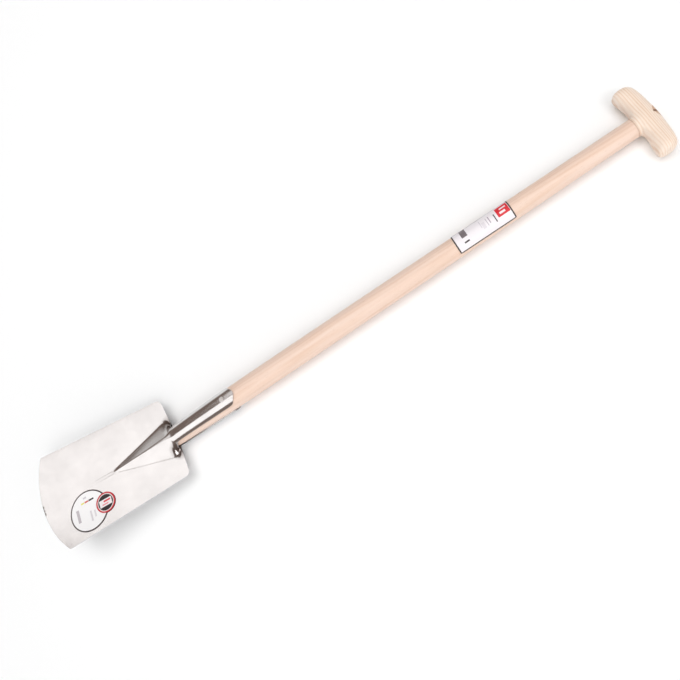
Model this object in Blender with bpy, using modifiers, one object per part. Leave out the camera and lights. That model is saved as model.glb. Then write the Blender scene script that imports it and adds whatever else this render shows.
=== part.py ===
"""Strapped garden spade: a stainless blade, a tapered hardwood shaft between two steel straps, and a T grip.

Every piece is modelled in the tool's own frame: X runs up the shaft from the blade's shoulders to the grip,
Y runs across the blade and Z points out of the blade's face, with the shaft's axis on X. At the end the whole
tool is laid on its back on the floor, so that the world's z = 0 is what it rests on.
"""

import math

import bmesh
import bpy
from mathutils import Matrix, Vector

MM = 0.001

# Driving sizes in metres. Each is set by itself, and everything else is worked out from them.
GAP = 0.3 * MM  # air between two pieces that touch
SHEET = 2.0 * MM  # steel of the blade and of the back strap

BLADE_LENGTH = 253 * MM  # shoulder line to the middle of the cutting edge
BLADE_SHOULDER_WIDTH = 139 * MM
BLADE_FLARE = 0.0555  # each side widens this much for each metre down the blade
EDGE_ARC_RADIUS = 128 * MM
GROUND_EDGE_LENGTH = 7 * MM  # the stretch that is ground thinner at the cutting edge
GROUND_EDGE_SHEET = 0.9 * MM
SHOULDER_CORNER_RADIUS = 7 * MM
STRAP_ROOT_RADIUS = 8 * MM  # fillet in the outline between the shoulder and the front strap
BLADE_CANT = math.radians(11.6)  # lean of the blade towards its face
DISH_RADIUS = 277 * MM  # hollow of the blade from side to side
SHOULDER_DROP = 4.5 * MM  # blade's face below the shaft's axis at the shoulders

CONE_LENGTH = 120.5 * MM  # shoulder line to where the cone runs out in the blade
CONE_CREST_POWER = 0.88  # 1 for a straight crest, less for one that bows up
CONE_HALF_WIDTH = 33.5 * MM  # at the shoulders, with its fillets
CONE_FOOT_HALF_WIDTH = 40.5 * MM  # of its foot, were that straight up to the shoulders
CONE_FLARE_LENGTH = 13 * MM  # over which it widens to that foot
CONE_TIP_HALF_WIDTH = 6 * MM
CONE_NARROWING = 0.93  # 1 for a foot with straight sides, more for one that narrows late
CONE_CROWN_RADIUS = 8.5 * MM  # of its round top, were it straight up to the shoulders
CONE_CROWN_LENGTH = 88 * MM  # over which the round top sharpens
CONE_CREASE_RADIUS = 2 * MM  # of the crest at its sharpest
CONE_FILLET_RADIUS = 8 * MM  # at the cone's foot, were that straight up to the shoulders
CONE_TIP_FILLET_RADIUS = 14 * MM
BACK_CONE_LENGTH = 125 * MM
BACK_CONE_HALF_WIDTH = 22 * MM
BACK_CONE_NARROWING = 1.5
BACK_FLANGE_HALF_WIDTH = 33 * MM
BACK_TIP_HALF_WIDTH = 12 * MM
BACK_FLANGE_NARROWING = 1.2
BACK_TIP_OVERRUN = 13 * MM  # of the flange beyond the end of the back cone
BACK_TIP_ROUNDING = 14 * MM

STRAP_LENGTH = 135.2 * MM  # shoulder line to the tip of either strap
FRONT_STRAP_SHARE = 0.8  # share of the cone's round part that goes on as the front strap
BACK_STRAP_HALF_ANGLE = math.radians(60)
STRAP_TIP_SLOPE = 0.8  # of the pointed strap ends
STRAP_TIP_RADIUS = 3 * MM
STRAP_CORNER_RADIUS = 2.5 * MM

SHAFT_DIAMETER = 37 * MM  # at the end of the straps
SHAFT_TOP_DIAMETER = 28 * MM  # under the grip
SHAFT_TAPER_POWER = 1.4  # most of the taper is near the grip
SHAFT_WAIST_DIAMETER = 31.4 * MM  # between the straps at the shoulders
SHAFT_NOSE_LENGTH = 80 * MM  # of wood inside the cone
SOCKET_DIP = 2.4 * MM  # socket's centre below the shaft's axis at the shoulders
SOCKET_BEND_LENGTH = 60 * MM  # over which the socket's sections turn into the blade's lean

GRIP_HEIGHT = 851.3 * MM  # shoulder line to the middle of the grip's bar
GRIP_LENGTH = 117 * MM
GRIP_ARM_DIAMETER = 33.2 * MM
GRIP_WAIST_DIAMETER = 31 * MM  # beside the neck, up and down the tool
GRIP_WAIST_DEPTH = 32.6 * MM  # beside the neck, from face to back
GRIP_BOW = 7.5 * MM  # the bar's ends droop this much towards the blade
GRIP_ARM_START = 0.62  # share of the half length where the arm reaches its full diameter
GRIP_END_ROUNDING = 10 * MM
GRIP_END_NARROWING = 3.5 * MM  # of the cage's radius at its ends
GRIP_NECK_DIAMETER = 29.4 * MM
GRIP_NECK_LENGTH = 20.8 * MM  # bar's middle to the neck's lower face
GRIP_NECK_FILLET = 0.45  # share of the neck's length that is left to its fillet
TENON_DIAMETER = 27.2 * MM
TENON_RECESS = 0.4 * MM  # tenon's end below the grip's surface
WEDGE_THICKNESS = 3.2 * MM
WEDGE_TIP_THICKNESS = 1.2 * MM
WEDGE_DEPTH = 22 * MM
SLOT_OVERSHOOT = 3 * MM  # of the slot's cutter past the wood that it cuts

RIVET_FROM_TIP = 22.8 * MM  # of the straps
RIVET_SHANK_DIAMETER = 5 * MM
RIVET_HEAD_DIAMETER = 9 * MM
RIVET_HEAD_RISE = 2.2 * MM

WELD_RADIUS = 1.5 * MM
WELD_START = 4 * MM  # below the shoulder line

STICKER = 0.3 * MM  # thickness of the three labels
SHAFT_LABEL_START = 543 * MM  # above the shoulder line
SHAFT_LABEL_LENGTH = 94 * MM
SHAFT_LABEL_WIDTH = 43 * MM
SHAFT_LABEL_TURN = math.radians(3.5)  # of its middle from the face towards +Y
BLADE_LABEL_DIAMETER = 69.5 * MM
BLADE_LABEL_DOWN = 178 * MM  # below the shoulder line
BLADE_LABEL_ACROSS = -38.5 * MM
BADGE_DIAMETER = 35 * MM
BADGE_DOWN = 147.5 * MM
BADGE_ACROSS = -39.8 * MM

# How finely the sheet and the wood are divided.
RIDGE_COLUMNS = 10
FILLET_COLUMNS = 5
WING_COLUMNS = 9
CLOSEST_COLUMNS = 0.3  # of their spread at the shoulders, where the cones run out
BLADE_ROWS = 40
ROW_CROWDING = 1.6  # more than 1 for rows that lie closer at the shoulders
STRAP_ROWS = 12
BACK_ROWS = 16
WELD_STEPS = 12  # along each side of the back strap's foot
WELD_TIP_STEPS = 6
SHAFT_SIDES = 32
NOSE_STEPS = 6
NOSE_FLARE_STEPS = 6
NOSE_TESTS = 24  # places across the cone where the room for the nose is measured
SOCKET_STEPS = 8
TAPER_STEPS = 8
GRIP_SUBDIVISION = 2
WEDGE_STEPS = 8
TENON_RINGS = (1.0, 0.66, 0.33)  # shares of its radius on the tenon's end
LABEL_SIDES = 40
LABEL_RINGS = 3
LABEL_STEPS_ALONG = 8
LABEL_STEPS_ROUND = 16
RIVET_SIDES = 20
RIVET_DOME_STEPS = 5
LAYING_PASSES = 3

# Worked out from the driving sizes.
LEAN = Vector((math.sin(BLADE_CANT), 0, math.cos(BLADE_CANT)))  # out of the blade's face
DOWN = Vector((-math.cos(BLADE_CANT), 0, math.sin(BLADE_CANT)))  # from the shoulders to the cutting edge
ACROSS = Vector((0, 1, 0))
SHOULDER_ORIGIN = Vector((0, 0, -SHOULDER_DROP))
SHAFT_RADIUS = SHAFT_DIAMETER / 2
RIVET_HEIGHT = STRAP_LENGTH - RIVET_FROM_TIP
SOCKET_RADIUS = SHAFT_RADIUS + GAP + SHEET  # outside of the straps at their tips
WAIST_RADIUS = SHAFT_WAIST_DIAMETER / 2 + GAP + SHEET  # and at the shoulders
SOCKET_RISE = (SHOULDER_DROP - SOCKET_DIP) / math.cos(BLADE_CANT)  # socket's centre above the blade's face
CONE_HEIGHT = SOCKET_RISE + WAIST_RADIUS
CONE_SPAN = (CONE_HALF_WIDTH**2 + CONE_HEIGHT**2) / (2 * CONE_HEIGHT)
BACK_FLANGE_LEVEL = 2 * SHEET + GAP  # outside of the back flange behind the blade's face
BACK_DEPTH = WAIST_RADIUS - SOCKET_RISE - BACK_FLANGE_LEVEL  # of the back cone behind its flange
BACK_SPAN = (BACK_CONE_HALF_WIDTH**2 + BACK_DEPTH**2) / (2 * BACK_DEPTH)
BACK_SHARE = WAIST_RADIUS / BACK_SPAN
NECK_FACE = GRIP_HEIGHT - GRIP_NECK_LENGTH
CAGE_CORNER = 1.0755  # corner of a square cage whose smooth section has a radius of 1


def mix(a, b, t):
    return a + (b - a) * t


def smooth(t):
    t = min(max(t, 0.0), 1.0)
    return t * t * (3 - 2 * t)


# Making and finishing objects


def clear_scene():
    for obj in list(bpy.data.objects):
        bpy.data.objects.remove(obj, do_unlink=True)


def new_collection(name, hidden=False):
    collection = bpy.data.collections.new(name)
    collection.hide_render = hidden
    bpy.context.scene.collection.children.link(collection)
    return collection


def make_material(name, colour, roughness, metallic=0.0):
    material = bpy.data.materials.new(name)
    material.use_nodes = True
    shader = material.node_tree.nodes["Principled BSDF"]
    shader.inputs["Base Color"].default_value = (*colour, 1)
    shader.inputs["Roughness"].default_value = roughness
    shader.inputs["Metallic"].default_value = metallic
    return material


def object_from_bmesh(name, mesh_builder, collection, material=None):
    mesh = bpy.data.meshes.new(name)
    mesh_builder.to_mesh(mesh)
    mesh_builder.free()
    obj = bpy.data.objects.new(name, mesh)
    collection.objects.link(obj)
    if material:
        mesh.materials.append(material)
    return obj


def shade(obj, angle=40):
    obj.data.shade_smooth()
    obj.data.set_sharp_from_angle(angle=math.radians(angle))


def sheet_from_grid(name, rows, collection, material):
    """An open sheet through rows of points, where a row may be shorter than the one before it."""
    builder = bmesh.new()
    points = [{key: builder.verts.new(place) for key, place in row.items()} for row in rows]
    for row, following in zip(points, points[1:]):
        keys = sorted(set(row) & set(following))
        for a, b in zip(keys, keys[1:]):
            if b == a + 1:
                builder.faces.new((row[a], row[b], following[b], following[a]))
    return object_from_bmesh(name, builder, collection, material)


def thicken(obj, thickness, thin_group=None, thin_share=1.0):
    solid = obj.modifiers.new("Sheet", "SOLIDIFY")
    solid.thickness = thickness
    solid.offset = -1
    solid.use_even_offset = True
    if thin_group:
        solid.vertex_group = thin_group
        solid.thickness_vertex_group = thin_share


def loft(name, sections, collection, material=None):
    """A closed solid through rings of points, each ring with the same count, with fans on its two ends."""
    builder = bmesh.new()
    rings = [[builder.verts.new(place) for place in section] for section in sections]
    for ring, following in zip(rings, rings[1:]):
        for i in range(len(ring)):
            j = (i + 1) % len(ring)
            builder.faces.new((ring[i], ring[j], following[j], following[i]))
    for ring in (rings[0], rings[-1]):
        middle = builder.verts.new(sum((v.co for v in ring), Vector()) / len(ring))
        for i in range(len(ring)):
            builder.faces.new((ring[i], ring[(i + 1) % len(ring)], middle))
    bmesh.ops.recalc_face_normals(builder, faces=builder.faces)
    return object_from_bmesh(name, builder, collection, material)


def cut(obj, cutter):
    cutter.hide_render = True
    cutter.display_type = "WIRE"
    boolean = obj.modifiers.new(cutter.name, "BOOLEAN")
    boolean.object = cutter
    boolean.operation = "DIFFERENCE"
    boolean.solver = "EXACT"


def cylinder(name, radius, length, matrix, collection, sides):
    builder = bmesh.new()
    bmesh.ops.create_cone(
        builder, cap_ends=True, segments=sides, radius1=radius, radius2=radius, depth=length, matrix=matrix
    )
    return object_from_bmesh(name, builder, collection)


# The blade, its cone and the front strap


def ridge_span(height, reach):
    """Sum of the radii of a ridge's crest and fillet where they meet with no flat side between them."""
    return (reach**2 + height**2) / (2 * height)


def ridge_arcs(height, reach, crown, fillet):
    """A ridge's two radii, which fit between its crest and its foot, and how steep its flat sides are."""
    fit = min(1.0, ridge_span(height, reach) / (crown + fillet))
    crown *= fit
    fillet *= fit
    both = crown + fillet
    steep = math.atan2(reach, both - height) - math.acos(min(1.0, both / math.hypot(reach, both - height)))
    return crown, fillet, steep


def bulge(across, height, reach, crown, fillet):
    """Height of a ridge at a distance across it: a round top, flat sides, and fillets that end at reach."""
    across = abs(across)
    if height <= 0 or across >= reach:
        return 0.0
    crown, fillet, steep = ridge_arcs(height, reach, crown, fillet)
    if across <= crown * math.sin(steep):
        return height - crown + math.sqrt(crown**2 - across**2)
    if across >= reach - fillet * math.sin(steep):
        return fillet - math.sqrt(fillet**2 - (reach - across) ** 2)
    return height - crown * (1 - math.cos(steep)) - (across - crown * math.sin(steep)) * math.tan(steep)


def ridge_columns(height, reach, crown, fillet):
    """Distances across a ridge, evenly round its top and then down its side and round its fillet."""
    crown, fillet, steep = ridge_arcs(height, reach, crown, fillet)
    edge = crown * math.sin(steep)
    flat = 1 - fillet * math.sin(steep) / (reach - edge)  # share of the side that isn't fillet
    tops = [crown * math.sin(steep * k / RIDGE_COLUMNS) for k in range(RIDGE_COLUMNS + 1)]
    feet = []
    for k in range(1, FILLET_COLUMNS + 1):
        share = k / FILLET_COLUMNS
        feet.append(mix(reach - fillet * math.sin(steep * (1 - share)), mix(edge, reach, share), flat))
    return tops + feet


def down_the_cone(down):
    """Share of the cone's length."""
    return min(1.0, max(0.0, down / CONE_LENGTH))


def cone_height(down):
    return CONE_HEIGHT * (1 - down_the_cone(down)) ** CONE_CREST_POWER


def cone_reach(down):
    foot = mix(CONE_FOOT_HALF_WIDTH, CONE_TIP_HALF_WIDTH, down_the_cone(down) ** CONE_NARROWING)
    return mix(CONE_HALF_WIDTH, foot, smooth(down / CONE_FLARE_LENGTH))


def cone_arcs(down):
    """Radii of the cone's crest and fillets. At the shoulders they are those of the strap and its sides."""
    crown = max(CONE_CREASE_RADIUS, CONE_CROWN_RADIUS * (1 - down / CONE_CROWN_LENGTH))
    fillet = mix(CONE_FILLET_RADIUS, CONE_TIP_FILLET_RADIUS, down_the_cone(down))
    flared = smooth(down / CONE_FLARE_LENGTH)
    return mix(WAIST_RADIUS, crown, flared), mix(CONE_SPAN - WAIST_RADIUS, fillet, flared)


def back_height(down):
    return BACK_DEPTH * max(0.0, 1 - down / BACK_CONE_LENGTH)


def back_reach(down):
    along = min(1.0, max(0.0, down / BACK_CONE_LENGTH))
    return mix(BACK_CONE_HALF_WIDTH, CONE_TIP_HALF_WIDTH, along**BACK_CONE_NARROWING)


def blade_half_width(down):
    return BLADE_SHOULDER_WIDTH / 2 + BLADE_FLARE * down


def cutting_edge(across):
    """How far down the blade its arched cutting edge lies at a distance across it."""
    return BLADE_LENGTH - EDGE_ARC_RADIUS + math.sqrt(EDGE_ARC_RADIUS**2 - across**2)


def dish(across):
    return across**2 / (2 * DISH_RADIUS)


def blade_point(down, across, level):
    """A place at a height above the undished plane of the blade's face."""
    return SHOULDER_ORIGIN + DOWN * down + ACROSS * across + LEAN * level


def face_point(down, across, lift=0.0):
    """A place on the blade's face, or lifted off it squarely."""
    ridge = bulge(across, cone_height(down), cone_reach(down), *cone_arcs(down))
    slope = across / DISH_RADIUS
    normal = (LEAN - ACROSS * slope).normalized()
    return blade_point(down, across, ridge + dish(across)) + normal * lift


def socket_centre(up):
    """Centre of the socket's round section at a distance up from the shoulders."""
    ease = max(0.0, 1 - up / STRAP_LENGTH) ** 2
    return Vector((up + SOCKET_RISE * math.sin(BLADE_CANT) * ease, 0, -SOCKET_DIP * ease))


def socket_up(up):
    lean = BLADE_CANT * max(0.0, 1 - up / SOCKET_BEND_LENGTH) ** 2
    return Vector((math.sin(lean), 0, math.cos(lean)))


def strap_radius(up):
    """Outside radius of the straps."""
    return mix(WAIST_RADIUS, SOCKET_RADIUS, min(1.0, up / STRAP_LENGTH))


def socket_point(up, angle, radius):
    """A place round the socket. The angle starts at the face and turns towards +Y."""
    return socket_centre(up) + radius * (math.sin(angle) * ACROSS + math.cos(angle) * socket_up(up))


def strap_end(arc, half_arc):
    """How far up a strap reaches at a distance round from its middle: a point, all its corners rounded."""
    end = STRAP_LENGTH - math.hypot(STRAP_TIP_SLOPE * arc, STRAP_TIP_RADIUS) + STRAP_TIP_RADIUS
    into_corner = max(0.0, arc - (half_arc - STRAP_CORNER_RADIUS))
    return end - STRAP_CORNER_RADIUS + math.sqrt(max(0.0, STRAP_CORNER_RADIUS**2 - into_corner**2))


def blade_columns(down):
    """Distances across the blade of every column: the ridge, its fillet, then the wing out to the side."""
    height = max(cone_height(down), CLOSEST_COLUMNS * CONE_HEIGHT)
    reach = max(cone_reach(down), CLOSEST_COLUMNS * CONE_HALF_WIDTH)
    crown, fillet = cone_arcs(down)
    inner = ridge_columns(height, reach, max(crown, CLOSEST_COLUMNS * WAIST_RADIUS), fillet)
    side = blade_half_width(down)
    wings = [mix(reach, side, math.sin(math.pi / 2 * k / WING_COLUMNS)) for k in range(1, WING_COLUMNS + 1)]
    return inner + wings


def shoulder_start(column, columns):
    """How far down the blade a column starts: at the shoulders, with corner and strap's root rounded."""
    strap_column = round(FRONT_STRAP_SHARE * RIDGE_COLUMNS)
    if column <= strap_column:
        return -STRAP_ROOT_RADIUS
    on_ridge = (min(column, RIDGE_COLUMNS) - strap_column) / RIDGE_COLUMNS
    on_fillet = max(0, column - RIDGE_COLUMNS) / FILLET_COLUMNS
    arc = WAIST_RADIUS * on_ridge + (CONE_SPAN - WAIST_RADIUS) * on_fillet
    from_strap = arc * math.asin(CONE_HALF_WIDTH / CONE_SPAN)
    if from_strap < STRAP_ROOT_RADIUS:
        return -STRAP_ROOT_RADIUS + math.sqrt(STRAP_ROOT_RADIUS**2 - (STRAP_ROOT_RADIUS - from_strap) ** 2)
    into_corner = columns[column] - (BLADE_SHOULDER_WIDTH / 2 - SHOULDER_CORNER_RADIUS)
    if into_corner <= 0:
        return 0.0
    inside = max(0.0, SHOULDER_CORNER_RADIUS**2 - into_corner**2)
    return SHOULDER_CORNER_RADIUS - math.sqrt(inside)


def cone_or_strap_point(down, column, across):
    """A place on the front sheet, by its distance across below the shoulders or by its angle above them."""
    if down >= 0 or column > RIDGE_COLUMNS:
        return face_point(down, across)
    angle = math.asin(CONE_HALF_WIDTH / CONE_SPAN) * column / RIDGE_COLUMNS
    place = socket_point(-down, angle, strap_radius(-down))
    leftover = dish(WAIST_RADIUS * math.sin(angle)) * max(0.0, 1 + down / STRAP_ROOT_RADIUS)
    return place + LEAN * leftover


def mirror_y(obj):
    """Mirrors a half that stops at the tool's middle plane."""
    mirror = obj.modifiers.new("Other side", "MIRROR")
    mirror.use_axis = (False, True, False)
    mirror.use_clip = True
    mirror.merge_threshold = 0.0001


def make_blade(collection, material):
    strap_columns = round(FRONT_STRAP_SHARE * RIDGE_COLUMNS) + 1
    turn = math.asin(CONE_HALF_WIDTH / CONE_SPAN)
    half_arc = SOCKET_RADIUS * turn * FRONT_STRAP_SHARE
    rows = []
    for k in range(STRAP_ROWS, 0, -1):
        row = {}
        for column in range(strap_columns):
            angle = turn * column / RIDGE_COLUMNS
            end = strap_end(SOCKET_RADIUS * angle, half_arc)
            row[column] = cone_or_strap_point(-mix(STRAP_ROOT_RADIUS, end, k / STRAP_ROWS), column, 0)
        rows.append(row)
    shoulder = blade_columns(0)
    for k in range(BLADE_ROWS + 1):
        row = {}
        for column in range(len(shoulder)):
            start = shoulder_start(column, shoulder)
            end = cutting_edge(blade_columns(BLADE_LENGTH)[column])
            end = cutting_edge(blade_columns(end)[column])
            down = mix(start, end, (k / BLADE_ROWS) ** ROW_CROWDING)
            row[column] = cone_or_strap_point(down, column, blade_columns(max(0.0, down))[column])
        rows.append(row)
    blade = sheet_from_grid("blade", rows, collection, material)
    ground = blade.vertex_groups.new(name="full sheet")
    for vertex in blade.data.vertices:
        offset = vertex.co - SHOULDER_ORIGIN
        left = cutting_edge(min(abs(offset.y), EDGE_ARC_RADIUS)) - offset.dot(DOWN)
        share = min(1.0, max(0.0, left / GROUND_EDGE_LENGTH))
        ground.add([vertex.index], share, "REPLACE")
    mirror_y(blade)
    thicken(blade, SHEET, ground.name, GROUND_EDGE_SHEET / SHEET)
    shade(blade)
    return blade


# The back strap and its weld


def back_tip(across_share):
    """Where the back flange ends, at a share of its half width."""
    end = BACK_CONE_LENGTH + BACK_TIP_OVERRUN
    return end - BACK_TIP_ROUNDING * (1 - math.sqrt(max(0.0, 1 - across_share**2)))


def back_arcs(height, reach):
    """Radii of the back cone's crest and fillets, with no flat side between them."""
    span = ridge_span(height, reach)
    return BACK_SHARE * span, (1 - BACK_SHARE) * span


def flange_half_width(down):
    along = min(1.0, max(0.0, down / BACK_CONE_LENGTH))
    return mix(BACK_FLANGE_HALF_WIDTH, BACK_TIP_HALF_WIDTH, along**BACK_FLANGE_NARROWING)


def back_columns(down):
    height = max(back_height(down), CLOSEST_COLUMNS * BACK_DEPTH)
    reach = max(back_reach(down), CLOSEST_COLUMNS * BACK_CONE_HALF_WIDTH)
    inner = ridge_columns(height, reach, *back_arcs(height, reach))
    flange = flange_half_width(down)
    return inner + [mix(reach, flange, 0.5), flange]


def back_point(down, across):
    """A place on the outside of the back strap's foot."""
    height = back_height(down)
    reach = back_reach(down)
    ridge = bulge(across, height, reach, *back_arcs(height, reach)) if height > 0 else 0.0
    return blade_point(down, across, dish(across) - BACK_FLANGE_LEVEL - ridge)


def back_strap_angle(up, column):
    """Angle of a column of the back strap, from its own middle. It widens from its waist at the shoulders."""
    waist = math.asin(BACK_CONE_HALF_WIDTH / BACK_SPAN)
    half = mix(waist, BACK_STRAP_HALF_ANGLE, smooth(up / SOCKET_BEND_LENGTH))
    return half * column / RIDGE_COLUMNS


def make_back_strap(collection, material):
    half_arc = SOCKET_RADIUS * BACK_STRAP_HALF_ANGLE
    rows = []
    for k in range(STRAP_ROWS, 0, -1):
        row = {}
        for column in range(RIDGE_COLUMNS + 1):
            end = strap_end(half_arc * column / RIDGE_COLUMNS, half_arc)
            up = mix(0, end, k / STRAP_ROWS)
            angle = math.pi - back_strap_angle(up, column)
            row[column] = socket_point(up, angle, strap_radius(up))
        rows.append(row)
    count = len(back_columns(0))
    for k in range(BACK_ROWS + 1):
        row = {}
        for column in range(count):
            tip = BACK_CONE_LENGTH + BACK_TIP_OVERRUN
            share = back_columns(tip)[column] / flange_half_width(tip)
            down = mix(0, back_tip(min(1.0, share)), k / BACK_ROWS)
            row[column] = back_point(down, back_columns(down)[column])
        rows.append(row)
    strap = sheet_from_grid("back_strap", rows, collection, material)
    builder = bmesh.new()
    builder.from_mesh(strap.data)
    bmesh.ops.reverse_faces(builder, faces=builder.faces)
    builder.to_mesh(strap.data)
    builder.free()
    mirror_y(strap)
    thicken(strap, SHEET)
    shade(strap)
    return strap


def make_weld_bead(collection, material):
    """The bead that runs round the foot of the back strap, in the corner between its edge and the blade."""
    clear = WELD_RADIUS + GAP
    level = -(SHEET + clear)
    side = []
    for k in range(WELD_STEPS + 1):
        down = mix(WELD_START, back_tip(1.0), k / WELD_STEPS)
        across = flange_half_width(down) + clear
        side.append(blade_point(down, across, level + dish(across)))
    tip = []
    for k in range(1, WELD_TIP_STEPS):
        share = math.cos(math.pi / 2 * k / WELD_TIP_STEPS)
        across = BACK_TIP_HALF_WIDTH * share + clear * share**2
        tip.append(blade_point(back_tip(share) + clear, across, level + dish(across)))
    half = side + tip
    middle = blade_point(back_tip(0) + clear, 0, level)
    flip = [Vector((p.x, -p.y, p.z)) for p in reversed(half)]
    curve = bpy.data.curves.new("weld_bead", "CURVE")
    curve.dimensions = "3D"
    curve.bevel_depth = WELD_RADIUS
    curve.bevel_resolution = 2
    curve.use_fill_caps = True
    route = half + [middle] + flip
    spline = curve.splines.new("POLY")
    spline.points.add(len(route) - 1)
    for point, place in zip(spline.points, route):
        point.co = (*place, 1)
    curve.materials.append(material)
    obj = bpy.data.objects.new("weld_bead", curve)
    collection.objects.link(obj)
    return obj


# The shaft, the grip and the wedge


def shaft_radius(up):
    """Radius of the bare shaft between the straps' tips and the grip."""
    along = min(1.0, max(0.0, (up - STRAP_LENGTH) / (NECK_FACE - STRAP_LENGTH)))
    return mix(SHAFT_RADIUS, SHAFT_TOP_DIAMETER / 2, along**SHAFT_TAPER_POWER)


def ring_round(centre, up, radius):
    turns = [2 * math.pi * k / SHAFT_SIDES for k in range(SHAFT_SIDES)]
    return [centre + radius * (math.sin(t) * ACROSS + math.cos(t) * up) for t in turns]


def bar_centre(across):
    """Height of the middle of the grip's bar, which bows away from the blade."""
    return GRIP_HEIGHT - GRIP_BOW * (across / (GRIP_LENGTH / 2)) ** 2


def bar_top(across, level):
    """Height of the grip's far surface over a place in its mortise."""
    share = min(1.0, 2 * abs(level) / GRIP_WAIST_DEPTH)
    return bar_centre(across) + GRIP_WAIST_DIAMETER / 2 * math.sqrt(1 - share**2)


def nose_room(down):
    """Middle and radius of the room for the wood, which lies on the back strap's foot and under the cone."""
    floor = SHEET - BACK_FLANGE_LEVEL - back_height(down) + GAP
    fall = (cone_height(down) - cone_height(down + MM)) / MM
    clear = (SHEET + GAP) * math.hypot(1, fall)
    height, reach, arcs = cone_height(down), cone_reach(down), cone_arcs(down)
    room = []
    for k in range(NOSE_TESTS + 1):
        across = reach * k / NOSE_TESTS
        rise = bulge(across, height, reach, *arcs) + dish(across) - floor
        room.append((across**2 + rise**2 - clear**2) / (2 * (rise + clear)))
    return floor + min(room), min(room)


def make_shaft(collection, material):
    sections = []
    nose = [mix(SHAFT_NOSE_LENGTH, CONE_FLARE_LENGTH, k / NOSE_STEPS) for k in range(NOSE_STEPS)]
    flare = [mix(CONE_FLARE_LENGTH, 0, k / NOSE_FLARE_STEPS) for k in range(NOSE_FLARE_STEPS)]
    for down in nose + flare:
        level, radius = nose_room(down)
        sections.append(ring_round(blade_point(down, 0, level), LEAN, radius))
    for k in range(SOCKET_STEPS + 1):
        up = mix(0, STRAP_LENGTH, k / SOCKET_STEPS)
        radius = strap_radius(up) - SHEET - GAP
        sections.append(ring_round(socket_centre(up), socket_up(up), radius))
    upright = Vector((0, 0, 1))
    shoulder = NECK_FACE - GAP
    for k in range(1, TAPER_STEPS + 1):
        up = mix(STRAP_LENGTH, shoulder, k / TAPER_STEPS)
        sections.append(ring_round(Vector((up, 0, 0)), upright, shaft_radius(up)))
    tenon = TENON_DIAMETER / 2
    sections.append(ring_round(Vector((shoulder, 0, 0)), upright, tenon))
    for share in TENON_RINGS:
        ring = ring_round(Vector(), upright, tenon * share)
        sections.append([Vector((bar_top(p.y, p.z) - TENON_RECESS, p.y, p.z)) for p in ring])
    return loft("shaft", sections, collection, material)


def make_wedge(name, collection, material, clear, overshoot):
    """A wedge across the grip's grain, driven into the tenon's end, or with clearance the slot for it."""
    half_width = TENON_DIAMETER / 2 - GAP + overshoot
    tip = GRIP_HEIGHT + GRIP_WAIST_DIAMETER / 2 - WEDGE_DEPTH - clear
    wide = WEDGE_THICKNESS / 2 + clear
    thin = WEDGE_TIP_THICKNESS / 2 + clear
    sections = []
    for k in range(WEDGE_STEPS + 1):
        level = mix(-half_width, half_width, k / WEDGE_STEPS)
        top = bar_top(0, min(abs(level), TENON_DIAMETER / 2)) - TENON_RECESS + overshoot
        corners = ((top, -wide), (top, wide), (tip, thin), (tip, -thin))
        sections.append([Vector((x, y, level)) for x, y in corners])
    return loft(name, sections, collection, material)


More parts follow.
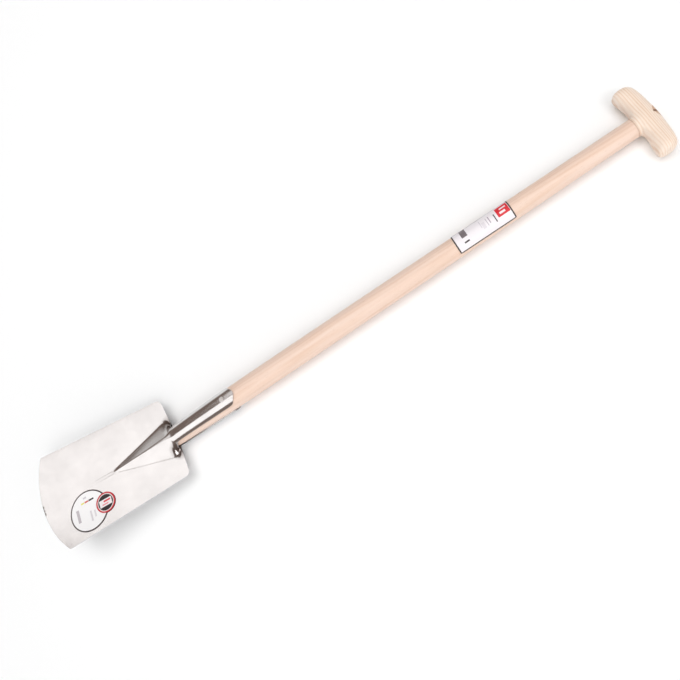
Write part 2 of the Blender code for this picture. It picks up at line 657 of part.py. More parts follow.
def make_grip(collection, cutters, material):
    """The T grip: a square cage of its bar and neck, rounded by subdivision, with a mortise through it."""
    half = GRIP_LENGTH / 2
    neck_side = GRIP_NECK_DIAMETER / 2 * CAGE_CORNER
    arm = GRIP_ARM_DIAMETER / 2
    end = arm - GRIP_END_NARROWING
    waist = GRIP_WAIST_DIAMETER / 2
    waist_depth = GRIP_WAIST_DEPTH / 2
    right = [
        (neck_side, waist, waist_depth),
        (half * GRIP_ARM_START, arm, arm),
        (half - GRIP_END_ROUNDING, arm, arm),
        (half, end, end),
    ]
    stations = [(-across, high, deep) for across, high, deep in reversed(right)] + right
    builder = bmesh.new()
    rings = []
    for across, high, deep in stations:
        x = high * CAGE_CORNER
        z = deep * CAGE_CORNER
        centre = bar_centre(across)
        offsets = ((x, z), (x, -z), (-x, -z), (-x, z))
        rings.append([builder.verts.new((centre + dx, across, dz)) for dx, dz in offsets])
    middle = len(right) - 1
    for k, (ring, following) in enumerate(zip(rings, rings[1:])):
        for i in range(4):
            j = (i + 1) % 4
            if k != middle or i != 2:
                builder.faces.new((ring[i], ring[j], following[j], following[i]))
    for ring in (rings[0], rings[-1]):
        builder.faces.new(ring)
    rim = [rings[middle][2], rings[middle][3], rings[middle + 1][3], rings[middle + 1][2]]
    for height in (mix(NECK_FACE, GRIP_HEIGHT - waist, GRIP_NECK_FILLET), NECK_FACE):
        signs = [(math.copysign(1, v.co.y), math.copysign(1, v.co.z)) for v in rim]
        lower = [builder.verts.new((height, neck_side * y, neck_side * z)) for y, z in signs]
        for i in range(4):
            j = (i + 1) % 4
            builder.faces.new((rim[i], rim[j], lower[j], lower[i]))
        rim = lower
    bmesh.ops.recalc_face_normals(builder, faces=builder.faces)
    cage = object_from_bmesh("grip", builder, collection)
    rounding = cage.modifiers.new("Rounding", "SUBSURF")
    rounding.levels = GRIP_SUBDIVISION
    rounding.render_levels = GRIP_SUBDIVISION
    bpy.context.view_layer.update()
    evaluated = cage.evaluated_get(bpy.context.evaluated_depsgraph_get())
    rounded = bmesh.new()
    rounded.from_mesh(evaluated.to_mesh())
    evaluated.to_mesh_clear()
    bpy.data.objects.remove(cage)
    open_edges = [edge for edge in rounded.edges if edge.is_boundary]
    bmesh.ops.holes_fill(rounded, edges=open_edges)
    bmesh.ops.recalc_face_normals(rounded, faces=rounded.faces)
    grip = object_from_bmesh("grip", rounded, collection, material)
    mortise = cylinder(
        "mortise",
        TENON_DIAMETER / 2 + GAP,
        GRIP_LENGTH,
        Matrix.Translation((GRIP_HEIGHT, 0, 0)) @ Matrix.Rotation(math.pi / 2, 4, "Y"),
        cutters,
        SHAFT_SIDES,
    )
    cut(grip, mortise)
    shade(grip)
    return grip


# The rivet


def make_rivet(collection, material):
    """A through rivet with a low dome on each strap, turned about its own axis."""
    seat = strap_radius(RIVET_HEIGHT) + GAP
    head = RIVET_HEAD_DIAMETER / 2
    shank = RIVET_SHANK_DIAMETER / 2
    turns = [math.pi / 2 * k / RIVET_DOME_STEPS for k in range(RIVET_DOME_STEPS + 1)]
    dome = [(head * math.sin(turn), seat + RIVET_HEAD_RISE * math.cos(turn)) for turn in turns]
    half = dome + [(shank, seat)]
    profile = half + [(radius, -level) for radius, level in reversed(half)]
    builder = bmesh.new()
    verts = [builder.verts.new((radius, 0, level)) for radius, level in profile]
    for a, b in zip(verts, verts[1:]):
        builder.edges.new((a, b))
    rivet = object_from_bmesh("rivet", builder, collection, material)
    rivet.location = socket_centre(RIVET_HEIGHT)
    screw = rivet.modifiers.new("Turning", "SCREW")
    screw.steps = RIVET_SIDES
    screw.render_steps = RIVET_SIDES
    screw.use_merge_vertices = True
    screw.merge_threshold = 0.0001
    shade(rivet)
    return rivet


def rivet_hole(cutters):
    place = Matrix.Translation(socket_centre(RIVET_HEIGHT))
    radius = RIVET_SHANK_DIAMETER / 2 + GAP
    return cylinder("rivet_hole", radius, SOCKET_RADIUS * 3, place, cutters, RIVET_SIDES)


# The labels


def make_shaft_label(collection, material):
    """A sticker bent round the shaft."""
    rows = []
    for k in range(LABEL_STEPS_ALONG + 1):
        up = SHAFT_LABEL_START + SHAFT_LABEL_LENGTH * k / LABEL_STEPS_ALONG
        radius = shaft_radius(up) + GAP + STICKER
        half_turn = SHAFT_LABEL_WIDTH / 2 / radius
        row = {}
        for i in range(LABEL_STEPS_ROUND + 1):
            angle = mix(half_turn, -half_turn, i / LABEL_STEPS_ROUND) + SHAFT_LABEL_TURN
            row[i] = Vector((up, radius * math.sin(angle), radius * math.cos(angle)))
        rows.append(row)
    label = sheet_from_grid("shaft_label", rows, collection, material)
    point_outwards(label)
    thicken(label, STICKER)
    shade(label)
    return label


def point_outwards(obj):
    """Turns an open sheet so that its faces look to the side that +Z is on."""
    builder = bmesh.new()
    builder.from_mesh(obj.data)
    bmesh.ops.recalc_face_normals(builder, faces=builder.faces)
    if sum(face.normal.z * face.calc_area() for face in builder.faces) < 0:
        bmesh.ops.reverse_faces(builder, faces=builder.faces)
    builder.to_mesh(obj.data)
    builder.free()


def make_round_label(name, diameter, down, across, lift, collection, material):
    """A round sticker that follows the blade's hollow."""
    builder = bmesh.new()
    bmesh.ops.create_circle(builder, cap_ends=False, segments=LABEL_SIDES, radius=diameter / 2)
    outer = list(builder.verts)
    directions = [v.co.copy() for v in outer]
    loops = [outer]
    for k in range(1, LABEL_RINGS):
        loops.append([builder.verts.new(place * (1 - k / LABEL_RINGS)) for place in directions])
    middle = builder.verts.new((0, 0, 0))
    for loop, inner in zip(loops, loops[1:]):
        for i in range(len(loop)):
            j = (i + 1) % len(loop)
            builder.faces.new((loop[i], loop[j], inner[j], inner[i]))
    last = loops[-1]
    for i in range(len(last)):
        builder.faces.new((last[i], last[(i + 1) % len(last)], middle))
    for vertex in builder.verts:
        vertex.co = face_point(down + vertex.co.x, across + vertex.co.y, lift + STICKER)
    label = object_from_bmesh(name, builder, collection, material)
    point_outwards(label)
    thicken(label, STICKER)
    shade(label)
    return label


# Laying the tool down


def world_points(obj, graph):
    evaluated = obj.evaluated_get(graph)
    mesh = evaluated.to_mesh()
    points = [evaluated.matrix_world @ vertex.co for vertex in mesh.vertices]
    evaluated.to_mesh_clear()
    return points


def lay_down(parts, rest_on):
    """Turns the tool so that it rests on two of its pieces, with the middle of its box over the origin."""
    ground = bpy.data.objects.new("lying_spade", None)
    parts[0].users_collection[0].objects.link(ground)
    for part in parts:
        part.parent = ground
    for _ in range(LAYING_PASSES):
        bpy.context.view_layer.update()
        graph = bpy.context.evaluated_depsgraph_get()
        near, far = (min(world_points(piece, graph), key=lambda p: p.z) for piece in rest_on)
        tilt = math.atan2(far.z - near.z, far.x - near.x)
        ground.matrix_world = Matrix.Rotation(tilt, 4, "Y") @ ground.matrix_world
    bpy.context.view_layer.update()
    graph = bpy.context.evaluated_depsgraph_get()
    points = [point for part in parts for point in world_points(part, graph)]
    xs = [point.x for point in points]
    ys = [point.y for point in points]
    middle = Vector(((min(xs) + max(xs)) / 2, (min(ys) + max(ys)) / 2, min(point.z for point in points)))
    ground.matrix_world = Matrix.Translation(-middle) @ ground.matrix_world


def main():
    clear_scene()
    spade = new_collection("Strapped spade")
    cutters = new_collection("Cutters", hidden=True)

    steel = make_material("Polished stainless steel", (0.62, 0.60, 0.59), 0.22, 1.0)
    weld = make_material("Brushed weld", (0.45, 0.42, 0.40), 0.45, 1.0)
    rivet_steel = make_material("Rivet steel", (0.70, 0.69, 0.68), 0.18, 1.0)
    ash = make_material("Pale hardwood shaft", (0.72, 0.53, 0.38), 0.55)
    grip_wood = make_material("Pale hardwood grip", (0.74, 0.56, 0.41), 0.6)
    wedge_wood = make_material("Darker wedge wood", (0.45, 0.27, 0.14), 0.7)
    paper = make_material("White label paper", (0.85, 0.86, 0.88), 0.45)
    film = make_material("Clear label film", (0.62, 0.62, 0.62), 0.35)
    red = make_material("Red badge", (0.55, 0.02, 0.04), 0.4)

    blade = make_blade(spade, steel)
    back_strap = make_back_strap(spade, steel)
    weld_bead = make_weld_bead(spade, weld)
    shaft = make_shaft(spade, ash)
    grip = make_grip(spade, cutters, grip_wood)
    wedge = make_wedge("tenon_wedge", spade, wedge_wood, 0, 0)
    rivet = make_rivet(spade, rivet_steel)
    shaft_label = make_shaft_label(spade, paper)
    blade_label = make_round_label(
        "blade_label", BLADE_LABEL_DIAMETER, BLADE_LABEL_DOWN, BLADE_LABEL_ACROSS, GAP, spade, film
    )
    badge = make_round_label(
        "blade_badge", BADGE_DIAMETER, BADGE_DOWN, BADGE_ACROSS, 2 * GAP + STICKER, spade, red
    )

    hole = rivet_hole(cutters)
    for piece in (blade, back_strap, shaft):
        cut(piece, hole)
    cut(shaft, make_wedge("wedge_slot", cutters, None, GAP, SLOT_OVERSHOOT))
    shade(shaft)

    parts = [blade, back_strap, weld_bead, shaft, grip, wedge, rivet, shaft_label, blade_label, badge]
    cutting = list(cutters.objects)
    lay_down(parts, (back_strap, grip))
    for tool in cutting:
        tool.parent = parts[0].parent


main()
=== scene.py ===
# %% [markdown]
# A strapped garden spade, photographed from above on a white table.
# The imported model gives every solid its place, so this lesson only dresses it: it makes each piece fine and smooth,
# gives it the finish of the real material, and sets up the camera and the studio light.

# %% Load the model
import math

import bpy
from mathutils import Matrix, Vector


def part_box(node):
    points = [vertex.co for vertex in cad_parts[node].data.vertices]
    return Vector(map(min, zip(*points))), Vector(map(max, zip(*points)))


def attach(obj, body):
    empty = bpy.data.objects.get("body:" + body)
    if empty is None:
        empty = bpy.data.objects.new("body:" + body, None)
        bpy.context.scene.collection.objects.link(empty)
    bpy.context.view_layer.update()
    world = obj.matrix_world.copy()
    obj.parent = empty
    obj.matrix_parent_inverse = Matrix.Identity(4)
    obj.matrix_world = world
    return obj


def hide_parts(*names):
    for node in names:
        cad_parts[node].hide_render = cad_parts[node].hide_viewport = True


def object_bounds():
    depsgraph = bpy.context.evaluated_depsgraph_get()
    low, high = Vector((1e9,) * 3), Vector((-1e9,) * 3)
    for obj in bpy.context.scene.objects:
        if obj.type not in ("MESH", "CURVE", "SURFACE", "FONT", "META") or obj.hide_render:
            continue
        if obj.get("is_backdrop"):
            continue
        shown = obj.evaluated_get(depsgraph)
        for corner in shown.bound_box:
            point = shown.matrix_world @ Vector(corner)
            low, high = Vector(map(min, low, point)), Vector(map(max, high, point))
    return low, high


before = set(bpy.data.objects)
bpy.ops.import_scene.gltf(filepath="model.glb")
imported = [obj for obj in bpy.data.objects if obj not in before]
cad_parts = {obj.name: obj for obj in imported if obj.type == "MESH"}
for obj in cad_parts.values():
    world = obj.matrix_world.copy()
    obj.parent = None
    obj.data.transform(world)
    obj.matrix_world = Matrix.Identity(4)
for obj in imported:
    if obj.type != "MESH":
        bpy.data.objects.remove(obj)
cad_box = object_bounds()
print("the spade's solids:", sorted(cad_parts))

# %% [markdown]
# Sizes in this lesson are in millimetres, as on a workshop drawing, and Blender works in metres.
# Colours are written as the hex values of a paint chart, which are made for screens, so one function turns them
# into the linear light that the renderer works with.

# %% Units and colours
MM = 0.001


def linear(hex_colour):
    """The linear colour, with an alpha of 1, of an sRGB hex value."""
    shares = [int(hex_colour[i : i + 2], 16) / 255 for i in (1, 3, 5)]
    return (*[c / 12.92 if c <= 0.04045 else ((c + 0.055) / 1.055) ** 2.4 for c in shares], 1)


print("mid grey in linear light:", linear("#808080"))

# %% [markdown]
# The camera looks down on the blade's face from beyond the grip's side. Its place and turn were worked out from
# the photograph: the blade's corners, the shaft's two edges and the grip's ends fix all of it. The sizes were read
# at the middles of pixels, so the frame is shifted by half a pixel.

# %% The camera
EYE = Vector((0.229289, -0.378791, 0.93935))
EYE_RIGHT = Vector((0.811798, -0.453281, -0.36813))
EYE_UP = Vector((0.543172, 0.817585, 0.1911))
PICTURE = 680  # pixels on each side of the photograph
FOCAL = 660.615  # pixels
SENSOR = 36  # mm, the width of Blender's usual sensor

camera = bpy.data.objects.new("camera", bpy.data.cameras.new("camera"))
bpy.context.scene.collection.objects.link(camera)
turn = Matrix((EYE_RIGHT, EYE_UP, EYE_RIGHT.cross(EYE_UP))).transposed()
camera.matrix_world = Matrix.Translation(EYE) @ turn.to_4x4()
camera.data.sensor_width = SENSOR
camera.data.lens = SENSOR * FOCAL / PICTURE
camera.data.shift_x = -0.5 / PICTURE
camera.data.shift_y = 0.5 / PICTURE
bpy.context.scene.camera = camera
print("lens:", round(camera.data.lens, 2), "mm")

# %% [markdown]
# A material is a small graph of nodes. Adding a node, setting it and wiring it up takes several lines each time,
# so one function does all of it. A socket takes either a plain value or another node's output.

# %% One function for any node


def add(tree, kind, sockets=None, **settings):
    """Adds a node to a tree, with settings on the node and values or links on its sockets."""
    node = tree.nodes.new("ShaderNode" + kind)
    for name, value in settings.items():
        setattr(node, name, value)
    for socket, value in (sockets or {}).items():
        if isinstance(value, bpy.types.NodeSocket):
            tree.links.new(value, node.inputs[socket])
        else:
            node.inputs[socket].default_value = value
    return node


def new_material(name):
    """An empty material with its shader. Returns the material, its tree and its shader."""
    material = bpy.data.materials.new(name)
    material.use_nodes = True
    return material, material.node_tree, material.node_tree.nodes["Principled BSDF"]


def stops(node, *colours):
    """Sets the stops of a colour ramp, each a position and a colour, and gives its output."""
    elements = node.color_ramp.elements
    while len(elements) < len(colours):
        elements.new(0.5)
    for element, (position, colour) in zip(elements, colours):
        element.position = position
        element.color = colour
    return node.outputs[0]


# %% [markdown]
# The table is a wide sheet of matt white card. The photograph's background is pure white and the table in the
# spade's shadow is pale grey, so the camera sees the card as a full white, while the light that the card throws
# back is that of ordinary white card.

# %% The table
TABLE_SIZE = 12  # metres, so that its edges stay far from the spade
TABLE_DROP = 0.5 * MM  # below the spade, whose lowest points would flicker in the card's own plane
bpy.ops.object.select_all(action="DESELECT")
bpy.ops.mesh.primitive_plane_add(size=TABLE_SIZE, location=(0, 0, -TABLE_DROP))
table = bpy.context.object
table.name = "table"
card, tree, shader = new_material("matt white card")
ray = add(tree, "LightPath")
white = {0: ray.outputs["Is Camera Ray"], 6: linear("#F6F6F7"), 7: (1, 1, 1, 1)}
tree.links.new(add(tree, "Mix", white, data_type="RGBA").outputs[2], shader.inputs["Base Color"])
shader.inputs["Roughness"].default_value = 0.9
shader.inputs["Specular IOR Level"].default_value = 0.2
table.data.materials.append(card)
table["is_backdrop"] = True
print(table.name, "of", card.name, tuple(table.dimensions))

# %% [markdown]
# Polished steel is a mirror, and shows the studio more than itself. The photograph's steel shows a wide softbox
# over the blade, a white board towards the camera's side, the white table, and a dim room in between. The white
# table and walls also throw soft light back on everything, so the room is dim only to glossy rays. The wall behind
# the photographer is the brightest of them, which is why the wood is darker on its far side. Two more softboxes
# light the wood: a large one over it, and a small one beside the grip, where the photograph's wood is palest. The
# steel doesn't mirror the large one, and the white board lights nothing but reflections.

# %% The room
FAR_WALL = 0.02  # soft light from the wall beyond the spade, where 1 is white
NEAR_WALL = 1.0  # and from the one behind the photographer
world = bpy.data.worlds.new("studio room")
bpy.context.scene.world = world
world.use_nodes = True
tree = world.node_tree
ray = add(tree, "LightPath")
towards = add(tree, "SeparateXYZ", {0: add(tree, "TexCoord").outputs["Generated"]})
wall = add(tree, "MapRange", {0: towards.outputs["Z"], 1: 0.1, 2: 0.3, 3: 1, 4: 0})
dim = add(tree, "Mix", {0: wall.outputs[0], 6: linear("#77675F"), 7: linear("#F4F2F0")}, data_type="RGBA")
soft = add(tree, "MapRange", {0: towards.outputs["Y"], 1: -1, 2: 1, 3: NEAR_WALL, 4: FAR_WALL}).outputs[0]
seen = add(tree, "Mix", {0: ray.outputs["Is Glossy Ray"], 6: soft, 7: dim.outputs[2]}, data_type="RGBA")
white = add(tree, "Mix", {0: ray.outputs["Is Camera Ray"], 6: seen.outputs[2], 7: (1, 1, 1, 1)}, data_type="RGBA")
tree.links.new(white.outputs[2], tree.nodes["Background"].inputs["Color"])
print("the room's nodes:", len(tree.nodes))

# %% The softboxes


def softbox(name, middle, size, turned, brightness):
    """A rectangular lamp overhead that faces down. A brightness of 1 is that of a white wall."""
    lamp = bpy.data.lights.new(name, "AREA")
    lamp.shape = "RECTANGLE"
    lamp.size, lamp.size_y = size
    lamp.energy = brightness * math.pi * size[0] * size[1]
    obj = bpy.data.objects.new(name, lamp)
    bpy.context.scene.collection.objects.link(obj)
    obj.location = middle
    obj.rotation_euler = (0, 0, math.radians(turned))
    print(name, round(lamp.energy, 1), "W")
    return obj


softbox("softbox_over_blade", (-1.68, 3.13, 6), (3.1, 7.6), 9.4, 1.07)
board = softbox("white_board", (-6.3, -2.9, 6), (7.3, 6.2), 0, 1.14)
board.visible_diffuse = False
key = softbox("key_softbox", (0.6, 0.4, 4), (3.0, 3.0), 0, 2.1)
key.visible_glossy = False
softbox("softbox_beside_grip", (1.4, -3.0, 4), (1.7, 1.7), 0, 5.4)
bpy.context.scene.view_settings.view_transform = "Standard"

# %% [markdown]
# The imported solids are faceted, as a model for a physics engine may be, while polished steel shows every facet.
# So each piece is copied, its loose triangles are joined and paired into quads, its edges get the small radius
# that pressing and sanding leave, and a subdivision rounds the facets off.

# %% Fine copies of the solids


def fine_copy(node, name, edge_radius=0.0, sharper_than=35, levels=1):
    """A smooth copy of a solid, with rounded edges, that stands for it."""
    piece = bpy.data.objects.new(name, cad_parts[node].data.copy())
    bpy.context.scene.collection.objects.link(piece)
    bpy.ops.object.select_all(action="DESELECT")
    piece.select_set(True)
    bpy.context.view_layer.objects.active = piece
    bpy.ops.object.mode_set(mode="EDIT")
    bpy.ops.mesh.select_all(action="SELECT")
    bpy.ops.mesh.remove_doubles(threshold=0.01 * MM)
    bpy.ops.mesh.tris_convert_to_quads(face_threshold=math.radians(50), shape_threshold=math.radians(80))
    bpy.ops.object.mode_set(mode="OBJECT")
    if edge_radius:
        bevel = piece.modifiers.new("edge radius", "BEVEL")
        bevel.width = edge_radius
        bevel.segments = 2
        bevel.limit_method = "ANGLE"
        bevel.angle_limit = math.radians(sharper_than)
        bpy.ops.object.modifier_apply(modifier=bevel.name)
    rounding = piece.modifiers.new("rounding", "SUBSURF")
    rounding.levels = levels
    rounding.render_levels = levels
    bpy.ops.object.modifier_apply(modifier=rounding.name)
    bpy.ops.object.shade_smooth_by_angle(angle=math.radians(50))
    piece.data.materials.clear()
    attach(piece, "root")
    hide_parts(node)
    print(name, len(piece.data.polygons), "faces")
    return piece


# %% [markdown]
# Stainless steel for garden tools is a chromium steel, a little warmer and darker than silver. The pressed sheet
# is polished with belts and then with wheels that run along the tool, which leaves very fine lines along it and
# clouds where the wheel pressed harder. The real lines are some hundredths of a millimetre apart, far too fine
# for the render, so they are drawn about 0.5 mm apart and very faint. The two pockets where the cone meets the
# shoulders get a painted shade: a dark brown is mixed into the steel's colour there, and it fades out over 2 cm.
# A wheel hardly reaches into them, so they are taken to keep the tint of the weld's heat, which is a guess, and
# it fades out over 2 cm.

# %% Polished stainless steel
POCKET = (0.3087, 0.022, 0.02)  # place of a pocket in metres, without its signs, so it serves both sides
steel, tree, shader = new_material("polished stainless steel")
place = add(tree, "TexCoord").outputs["Object"]
clouds = add(tree, "TexNoise", {"Vector": place, "Scale": 28, "Detail": 3})
tone = stops(add(tree, "ValToRGB", {0: clouds.outputs[0]}), (0.3, linear("#DDDCDC")), (0.7, linear("#E7E6E6")))
both_sides = add(tree, "VectorMath", {0: place}, operation="ABSOLUTE").outputs["Vector"]
away = add(tree, "VectorMath", {0: both_sides, 1: POCKET}, operation="DISTANCE").outputs["Value"]
# painted shade: the steel's colour turns dark brown towards the two pockets by the shoulders
painted_pocket_shade = add(tree, "MapRange", {0: away, 1: 4 * MM, 2: 20 * MM, 3: 0.85, 4: 0}).outputs[0]
shade = add(tree, "Mix", {0: painted_pocket_shade, 6: tone, 7: linear("#5E4D46")}, data_type="RGBA").outputs[2]
tree.links.new(shade, shader.inputs["Base Color"])
along = add(tree, "Mapping", {"Vector": place, "Scale": (18, 900, 900)}).outputs[0]
lines = add(tree, "TexNoise", {"Vector": along, "Scale": 2, "Detail": 4})
dull = add(tree, "MapRange", {0: lines.outputs[0], 1: 0.3, 2: 0.75, 3: 0.11, 4: 0.22})
tree.links.new(dull.outputs[0], shader.inputs["Roughness"])
waves = add(tree, "TexNoise", {"Vector": place, "Scale": 45, "Detail": 1})
ripple = add(tree, "Bump", {"Strength": 0.03, "Distance": 1.5 * MM, "Height": waves.outputs[0]})
fine = {"Strength": 0.02, "Distance": 0.02 * MM, "Height": lines.outputs[0], "Normal": ripple.outputs[0]}
polish = add(tree, "Bump", fine)
tree.links.new(polish.outputs[0], shader.inputs["Normal"])
shader.inputs["Metallic"].default_value = 1
print(steel.name, "is darkest", POCKET[1] / MM, "mm from the middle plane")

# %% [markdown]
# On the real spade the blade, its cone and the front strap are one pressing. The back strap is a second pressing,
# welded to the back of the blade. Both are 2 mm sheet with edges that were dressed on a belt.

# %% The two pressings
blade = fine_copy("blade", "dished_blade", 0.3 * MM)
back_strap = fine_copy("back_strap", "rear_strap", 0.3 * MM)
for piece in (blade, back_strap):
    piece.data.materials.append(steel)

# %% [markdown]
# The weld is a thin TIG bead. Each dip of the filler rod leaves a small ripple, about 1.2 mm from the last, and
# the heat leaves a brownish straw tint that a wire brush doesn't quite remove. A wave texture repeats every 314 mm
# when its scale is 1, so its scale is that length divided by the real one.

# %% The weld
WAVE_LENGTH = 0.314  # metres from wave to wave at a scale of 1
weld_metal, tree, shader = new_material("brushed stainless weld")
place = add(tree, "TexCoord").outputs["Object"]
heat = add(tree, "TexNoise", {"Vector": place, "Scale": 130, "Detail": 2})
tint = stops(add(tree, "ValToRGB", {0: heat.outputs[0]}), (0.35, linear("#B5ADA4")), (0.65, linear("#CDC9C5")))
tree.links.new(tint, shader.inputs["Base Color"])
bead = {"Vector": place, "Scale": WAVE_LENGTH / (1.2 * MM), "Distortion": 2}
dips = add(tree, "TexWave", bead, bands_direction="X")
crust = add(tree, "Bump", {"Strength": 0.6, "Distance": 0.25 * MM, "Height": dips.outputs["Fac"]})
tree.links.new(crust.outputs[0], shader.inputs["Normal"])
shader.inputs["Metallic"].default_value = 1
shader.inputs["Roughness"].default_value = 0.34

weld = fine_copy("weld_bead", "rippled_weld")
weld.data.materials.append(weld_metal)

# %% [markdown]
# The rivet's head is set by a press, which leaves a few tiny dents, and then it is only brushed. So it is rougher
# than the straps, and its colour is a little lighter, as it shows less of the dim room and more of the lamps.

# %% The rivet
rivet_steel, tree, shader = new_material("set stainless rivet")
place = add(tree, "TexCoord").outputs["Object"]
dents = add(tree, "TexNoise", {"Vector": place, "Scale": 450, "Detail": 2})
dented = add(tree, "Bump", {"Strength": 0.15, "Distance": 0.15 * MM, "Height": dents.outputs[0]})
tree.links.new(dented.outputs[0], shader.inputs["Normal"])
tone = stops(add(tree, "ValToRGB", {0: dents.outputs[0]}), (0.3, linear("#F6F4F2")), (0.7, linear("#FDFCFB")))
tree.links.new(tone, shader.inputs["Base Color"])
shader.inputs["Metallic"].default_value = 1
shader.inputs["Roughness"].default_value = 0.6

rivet = fine_copy("rivet", "domed_rivet", 0.15 * MM, 60)
rivet.data.materials.append(rivet_steel)

# %% [markdown]
# The shaft and the grip are ash, a pale wood with a long straight grain. It is sawn so that the yearly rings show
# as long, slightly wavy streaks, 2 to 4 mm apart, and the open pores of each spring are short thin dashes along
# them. The pores are 0.2 mm wide, and are drawn about twice that. The wood is sanded and oiled, so it is matt with
# a faint sheen. The rings are circles round the tree's pith, so they are drawn as circles round a line beside
# the piece, and one function makes the wood for a given direction of grain. The grip's wood is the paler one.

# %% Ash


def ash(name, pith, turned, early, late, pale):
    """Sanded ash. Its grain runs along X, after a turn about Z, with the pith on a line through a place."""
    material, tree, shader = new_material(name)
    place = add(tree, "TexCoord").outputs["Object"]
    grain = add(tree, "Mapping", {"Vector": place, "Rotation": (0, 0, math.radians(turned))}).outputs[0]
    long = add(tree, "Mapping", {"Vector": grain, "Scale": (5, 60, 60)}).outputs[0]
    drift = add(tree, "TexNoise", {"Vector": long, "Scale": 1, "Detail": 2})
    shift = add(tree, "VectorMath", {0: drift.outputs["Color"], 1: (0, 6 * MM, 6 * MM)}, operation="MULTIPLY")
    bent = add(tree, "VectorMath", {0: grain, 1: shift.outputs[0]}).outputs[0]
    round_pith = add(tree, "Mapping", {"Vector": bent, "Location": [-v for v in pith]}).outputs[0]
    yearly = {"Vector": round_pith, "Scale": WAVE_LENGTH / (3.2 * MM)}
    rings = add(tree, "TexWave", yearly, wave_type="RINGS", rings_direction="X")
    year = stops(add(tree, "ValToRGB", {0: rings.outputs["Fac"]}), (0.1, linear(early)), (0.75, linear(late)))
    silk = add(tree, "Mapping", {"Vector": grain, "Scale": (7, 130, 130)}).outputs[0]
    streaks = add(tree, "TexNoise", {"Vector": silk, "Scale": 1, "Detail": 3})
    much = add(tree, "MapRange", {0: streaks.outputs[0], 1: 0.35, 2: 0.75, 3: 0, 4: 0.7})
    wood = add(tree, "Mix", {0: much.outputs[0], 6: year, 7: linear(pale)}, data_type="RGBA")
    thin = add(tree, "Mapping", {"Vector": grain, "Scale": (160, 2400, 2400)}).outputs[0]
    dashes = add(tree, "TexNoise", {"Vector": thin, "Scale": 1, "Detail": 1})
    open_pores = add(tree, "MapRange", {0: dashes.outputs[0], 1: 0.66, 2: 0.74, 3: 0, 4: 0.35})
    pored = add(tree, "Mix", {0: open_pores.outputs[0], 6: wood.outputs[2], 7: linear("#B98A6C")}, data_type="RGBA")
    tree.links.new(pored.outputs[2], shader.inputs["Base Color"])
    sanded = add(tree, "MapRange", {0: streaks.outputs[0], 1: 0.3, 2: 0.7, 3: 0.34, 4: 0.5})
    tree.links.new(sanded.outputs[0], shader.inputs["Roughness"])
    pits = add(tree, "Bump", {"Strength": 0.25, "Distance": 0.1 * MM, "Height": dashes.outputs[0]}, invert=True)
    tree.links.new(pits.outputs[0], shader.inputs["Normal"])
    shader.inputs["IOR"].default_value = 1.5
    return material


shaft_wood = ash("sanded ash shaft", (0, 0.05, -0.03), 0, "#E9C8B2", "#EFD1BE", "#F4DDCF")
grip_wood = ash("turned ash grip", (0, -0.45, 0.06), 90, "#EBCEB5", "#F7E2D0", "#FBEEE2")
print("the shaft's wood:", shaft_wood.name, "and the grip's:", grip_wood.name)

# %% The shaft
shaft = fine_copy("shaft", "ash_shaft", 0.2 * MM)
shaft.data.materials.append(shaft_wood)

# %% [markdown]
# Where the shaft's tenon comes through the grip it shows its end grain, which drinks more oil and so is darker.
# Those faces are the ones in the shaft's last 8 mm that look along it.

# %% The tenon's end grain
LAST_PART = 8 * MM
end_grain = ash("oiled ash end grain", (0, 0.05, -0.03), 0, "#BE906B", "#CC9F7A", "#D6AE8C")
shaft.data.materials.append(end_grain)
far_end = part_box("shaft")[1][0]
for face in shaft.data.polygons:
    if face.center[0] > far_end - LAST_PART and face.normal[0] > 0.6:
        face.material_index = 1
print("faces of end grain:", sum(face.material_index for face in shaft.data.polygons))

# %% The grip
grip = fine_copy("grip", "ash_grip", 0.3 * MM)
grip.data.materials.append(grip_wood)

# %% [markdown]
# The wedge that spreads the tenon is a harder, darker wood, such as walnut, with its grain along the shaft.

# %% The wedge
walnut, tree, shader = new_material("walnut wedge")
place = add(tree, "TexCoord").outputs["Object"]
fibres = add(tree, "Mapping", {"Vector": place, "Scale": (120, 900, 900)}).outputs[0]
fibre = add(tree, "TexNoise", {"Vector": fibres, "Scale": 1, "Detail": 3})
brown = stops(add(tree, "ValToRGB", {0: fibre.outputs[0]}), (0.3, linear("#6E4A32")), (0.7, linear("#94694A")))
tree.links.new(brown, shader.inputs["Base Color"])
rough = add(tree, "Bump", {"Strength": 0.3, "Distance": 0.15 * MM, "Height": fibre.outputs[0]})
tree.links.new(rough.outputs[0], shader.inputs["Normal"])
shader.inputs["Roughness"].default_value = 0.6
shader.inputs["IOR"].default_value = 1.5

wedge = fine_copy("tenon_wedge", "walnut_wedge", 0.1 * MM)
wedge.data.materials.append(walnut)

# %% [markdown]
# The three labels are printed stickers. A print is laid out in millimetres on the sticker itself, so each one
# gets its own map, which gives every corner of its mesh a place in millimetres from the middle of the print.
# The print is plain bars and rings in colours like the photograph's, in a layout of their own, and says nothing.
# The shaft's label also gets one bar of painted shade.

# %% Maps for the prints
LEAN = math.radians(11.92)  # of the blade towards its face, as the spade lies
AXIS_LEVEL = 0.021804  # height of the shaft's axis over the table at the middle of the model
AXIS_FALL = 0.005544  # how much the axis falls towards the grip, for each metre
print("the blade leans by", round(math.degrees(LEAN), 2), "degrees")


def lay_print(piece, place_on_print):
    """Gives a label its own map, in millimetres from the middle of its print."""
    layer = piece.data.uv_layers.new(name="print")
    for loop in piece.data.loops:
        layer.data[loop.index].uv = place_on_print(piece.data.vertices[loop.vertex_index].co)
    us = [uv.uv[0] for uv in layer.data]
    vs = [uv.uv[1] for uv in layer.data]
    print(piece.name, "print:", round(max(us) - min(us), 1), "by", round(max(vs) - min(vs), 1), "mm")


def on_blade(node):
    """Places on a round label: down the blade and across it from the label's middle."""
    low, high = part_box(node)
    middle = (Vector(low) + Vector(high)) / 2
    down = Vector((-math.cos(LEAN), 0, math.sin(LEAN)))
    return lambda place: ((place - middle).dot(down) / MM, (place.y - middle.y) / MM)


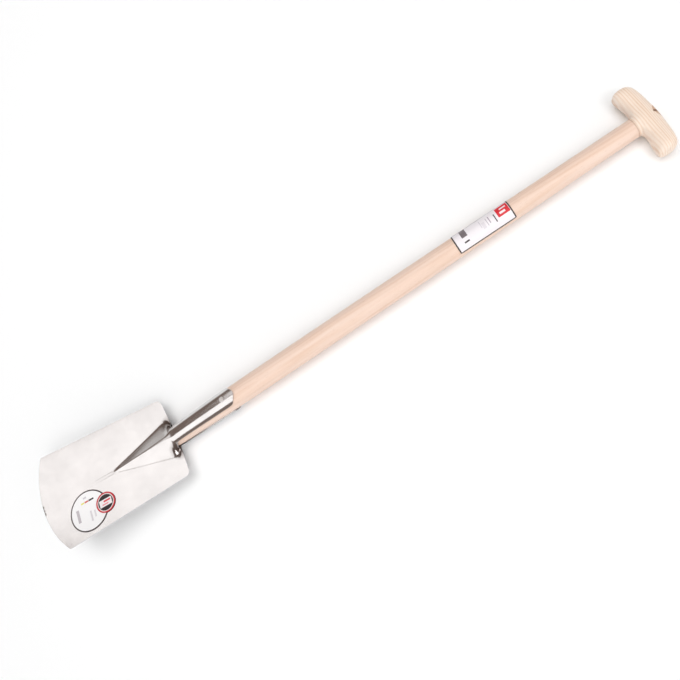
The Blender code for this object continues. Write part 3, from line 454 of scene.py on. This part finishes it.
def on_shaft(node):
    """Places on the shaft's label: along the shaft from its middle, and round it from the shaft's face."""
    low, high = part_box(node)
    middle = (low[0] + high[0]) / 2

    def place_on_print(place):
        level = place.z - (AXIS_LEVEL - AXIS_FALL * place.x)
        radius = math.hypot(place.y, level)
        return (place.x - middle) / MM, radius * math.atan2(place.y, level) / MM

    return place_on_print


# %% Ink, and painted shade


def bar(tree, place, middle, size):
    """A mask that is 1 inside a bar, by its middle and its size in millimetres."""
    moved = add(tree, "VectorMath", {0: place, 1: (*middle, 0)}, operation="SUBTRACT").outputs[0]
    apart = add(tree, "VectorMath", {0: moved}, operation="ABSOLUTE").outputs[0]
    sides = add(tree, "SeparateXYZ", {0: apart})
    inside = [add(tree, "Math", {0: sides.outputs[i], 1: size[i] / 2}, operation="LESS_THAN") for i in (0, 1)]
    return add(tree, "Math", {0: inside[0].outputs[0], 1: inside[1].outputs[0]}, operation="MULTIPLY").outputs[0]


def ring(tree, place, inner, outer):
    """A mask that is 1 between two radii in millimetres."""
    radius = add(tree, "VectorMath", {0: place}, operation="LENGTH").outputs["Value"]
    out = add(tree, "Math", {0: radius, 1: inner}, operation="GREATER_THAN").outputs[0]
    within = add(tree, "Math", {0: radius, 1: outer}, operation="LESS_THAN").outputs[0]
    return add(tree, "Math", {0: out, 1: within}, operation="MULTIPLY").outputs[0]


def sticker(name, paper, inks_and_painted_shade):
    """A printed sticker: a sheet's colour, and marks of ink and of painted shade, each taking a mask's maker with its
    values.
    """
    material, tree, shader = new_material(name)
    place = add(tree, "UVMap", uv_map="print").outputs[0]
    fibres = add(tree, "TexNoise", {"Vector": place, "Scale": 1.2, "Detail": 3})
    fade = add(tree, "MapRange", {0: fibres.outputs[0], 1: 0.3, 2: 0.7, 3: 0.0, 4: 0.05}).outputs[0]
    colour = add(tree, "Mix", {0: fade, 6: linear(paper), 7: linear("#8C8484")}, data_type="RGBA").outputs[2]
    for ink_and_painted_shade, make_mask, *values in inks_and_painted_shade:
        mask = make_mask(tree, place, *values)
        colour = add(tree, "Mix", {0: mask, 6: colour, 7: linear(ink_and_painted_shade)}, data_type="RGBA").outputs[2]
    tree.links.new(colour, shader.inputs["Base Color"])
    curl = add(tree, "TexNoise", {"Vector": place, "Scale": 0.12, "Detail": 1})
    pressed = add(tree, "Bump", {"Strength": 0.08, "Distance": 0.4 * MM, "Height": curl.outputs[0]})
    tree.links.new(pressed.outputs[0], shader.inputs["Normal"])
    shader.inputs["Roughness"].default_value = 0.42
    shader.inputs["IOR"].default_value = 1.5
    return material


# %% [markdown]
# The shaft's label is coated white paper with a dark line round it, a red block of bars near the grip and grey
# ones near the blade. A pale grey band along its far side is painted shade.

# %% The shaft's label
shaft_label = fine_copy("shaft_label", "shaft_sticker", levels=2)
lay_print(shaft_label, on_shaft("shaft_label"))
shaft_paper = sticker(
    "coated label paper",
    "#F4EEF1",
    [
        ("#3E3230", bar, (0, 1), (94, 43)),
        ("#F4EEF1", bar, (0, 1), (89, 38.2)),
        # painted shade: a pale grey band along the label's far side, where the shaft turns away from the light
        ("#D3CCD2", bar, (0, 17), (89, 6)),
        ("#DE2C38", bar, (34.5, 3.5), (19, 17)),
        ("#FBEDEE", bar, (36, 6), (10, 2.6)),
        ("#FBEDEE", bar, (33.5, 0), (9, 3.4)),
        ("#4E4145", bar, (20.5, -2), (1.6, 13)),
        ("#B9AAB5", bar, (12, 1), (1.6, 11)),
        ("#C9BFC8", bar, (8, 0), (1.2, 13)),
        ("#DCD4DB", bar, (-2, 2), (1.4, 12)),
        ("#E4DDE2", bar, (2, -2), (5, 10)),
        ("#7A7073", bar, (-29, 8), (9, 17)),
        ("#3A3034", bar, (-29.5, -8), (8, 2.4)),
    ],
)
shaft_label.data.materials.append(shaft_paper)

# %% [markdown]
# The blade's label is a pale film with a thin dark ring, and the badge that overlaps it is glossy red paper.

# %% The blade's labels
blade_label = fine_copy("blade_label", "round_sticker", levels=2)
lay_print(blade_label, on_blade("blade_label"))
film = sticker(
    "pale label film",
    "#FBF9F9",
    [
        ("#4A3F3F", ring, 31.9, 34.8),
        ("#332C2C", bar, (-8, 16.5), (9, 2.8)),
        ("#D0685E", bar, (0.5, 16.5), (7, 2.8)),
        ("#E8E27C", bar, (8, 16.5), (6, 2.8)),
        ("#C4BDC1", bar, (20, -1), (5, 22)),
        ("#DAD4D8", bar, (-2, -10), (3, 18)),
        ("#DFDADD", bar, (-9, -9), (3, 12)),
        ("#D2CDD2", bar, (2, 24), (6, 3)),
    ],
)
blade_label.data.materials.append(film)

badge = fine_copy("blade_badge", "badge_sticker", levels=2)
lay_print(badge, on_blade("blade_badge"))
red_paper = sticker(
    "glossy red label paper",
    "#C82834",
    [
        ("#F0E4E2", ring, 0, 14.6),
        ("#2B2022", ring, 0, 13.4),
        ("#F4ECEC", bar, (0, 0), (22, 12)),
        ("#E0505A", bar, (-3, 2.4), (12, 3)),
        ("#EE9AA0", bar, (1, -2.6), (11, 2.4)),
    ],
)
badge.data.materials.append(red_paper)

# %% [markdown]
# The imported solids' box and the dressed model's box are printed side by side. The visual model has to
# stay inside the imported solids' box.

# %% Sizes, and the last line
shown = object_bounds()
for packed, dressed in zip(cad_box, shown):
    print("packed:", [round(v / MM, 1) for v in packed], "dressed:", [round(v / MM, 1) for v in dressed])
